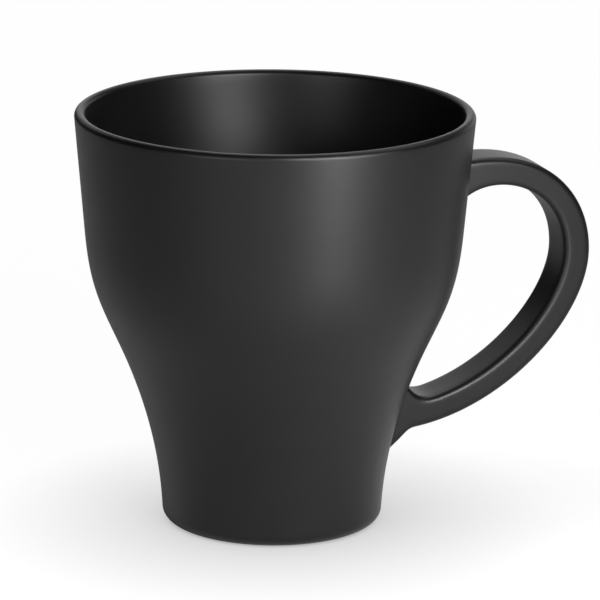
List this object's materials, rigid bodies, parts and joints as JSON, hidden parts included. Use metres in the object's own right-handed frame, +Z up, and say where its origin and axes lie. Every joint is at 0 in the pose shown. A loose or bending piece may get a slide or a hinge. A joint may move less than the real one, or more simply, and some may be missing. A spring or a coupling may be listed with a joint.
{
  "type": "ceramic mug",
  "caption": "Black glazed ceramic mug with a full upper bowl, a drawn-in waist, a narrow foot and one flat-sided loop handle.",
  "frame": {"origin": "centre of the foot ring, on the surface the mug stands on", "axes": "+Z up along the cup's axis, +X from the cup's axis out through the middle of the handle, +Y across the handle"},
  "size_m": [0.1226, 0.092, 0.097],
  "materials": {
    "stoneware": "unglazed fired clay, matt",
    "slip": "fired slip, matt",
    "black_glaze": "black satin-matt glaze with a fine tooth"
  },
  "bodies": {
    "root": {"cup": "stoneware", "upper_slip_joint": "slip", "lower_slip_joint": "slip", "handle": "stoneware", "liner_glaze": "black_glaze", "outer_glaze": "black_glaze", "base_glaze": "black_glaze", "handle_glaze": "black_glaze"}
  },
  "joints": []
}
